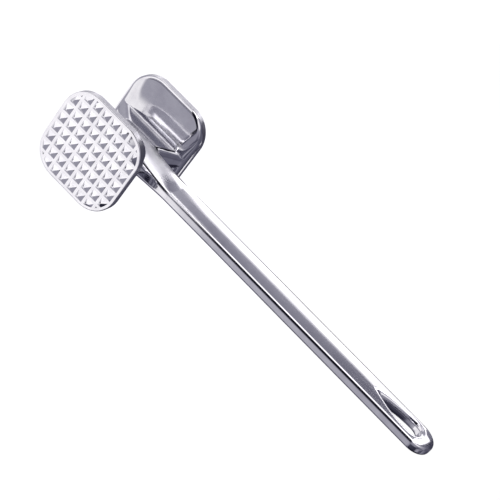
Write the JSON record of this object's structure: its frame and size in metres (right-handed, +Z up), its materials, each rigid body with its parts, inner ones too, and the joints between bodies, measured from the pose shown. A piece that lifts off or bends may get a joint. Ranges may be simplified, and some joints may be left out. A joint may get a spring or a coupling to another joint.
{
  "type": "meat mallet",
  "caption": "Double-faced metal meat mallet with a coarse and a fine pyramid-toothed striking face and a flat bar handle with a hang slot.",
  "frame": {"origin": "on the handle's axis, on the plane that the two striking plates stand on when the mallet stands on its head", "axes": "+X through the head towards the coarse face, +Y square to the handle's flat side, +Z up the handle"},
  "size_m": [0.0698, 0.053, 0.2518],
  "materials": {
    "head_casting": "polished cast aluminium",
    "coarse_plate": "polished, with machined pyramid teeth",
    "fine_plate": "polished, with machined pyramid teeth",
    "handle_bar": "polished cast aluminium",
    "pin_steel": "plain steel spring pin"
  },
  "bodies": {
    "root": {"head_core": "head_casting", "coarse_face_plate": "coarse_plate", "fine_face_plate": "fine_plate", "handle": "handle_bar", "tang_pin": "pin_steel"}
  },
  "joints": []
}
